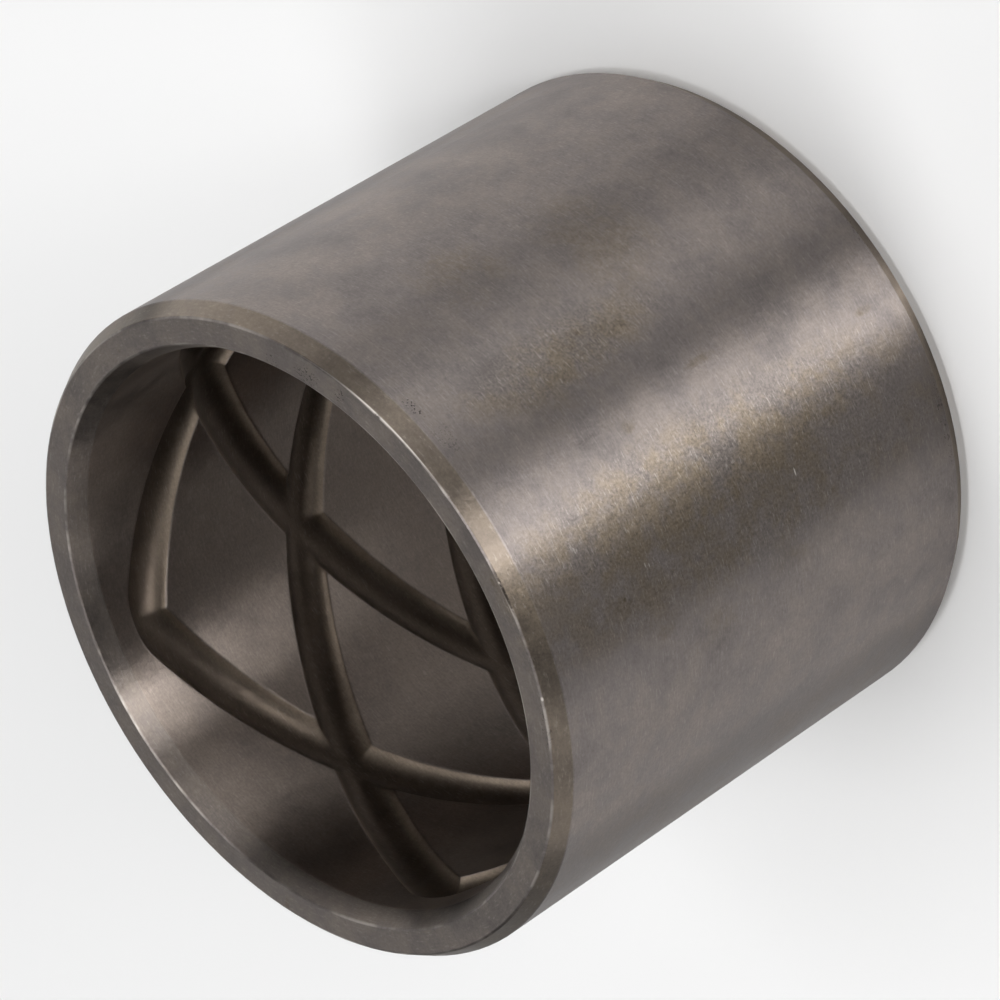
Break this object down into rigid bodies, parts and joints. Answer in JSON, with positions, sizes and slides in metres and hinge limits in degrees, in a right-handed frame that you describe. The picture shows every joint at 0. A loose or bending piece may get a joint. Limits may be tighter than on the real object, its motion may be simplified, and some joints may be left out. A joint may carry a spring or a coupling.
{
  "type": "pin bushing",
  "caption": "One-piece steel pin bushing with lead-in chamfers at both ends and crossed zigzag grease grooves in its bore.",
  "frame": {"origin": "centre of the lower end face, which is the bottom centre of the box", "axes": "+Z along the bushing's axis, up to the end face that the picture shows; +X through the upper turn of one grease groove"},
  "size_m": [0.105, 0.105, 0.09],
  "materials": {
    "steel": "satin"
  },
  "bodies": {
    "root": {"bushing": "steel"}
  },
  "joints": []
}
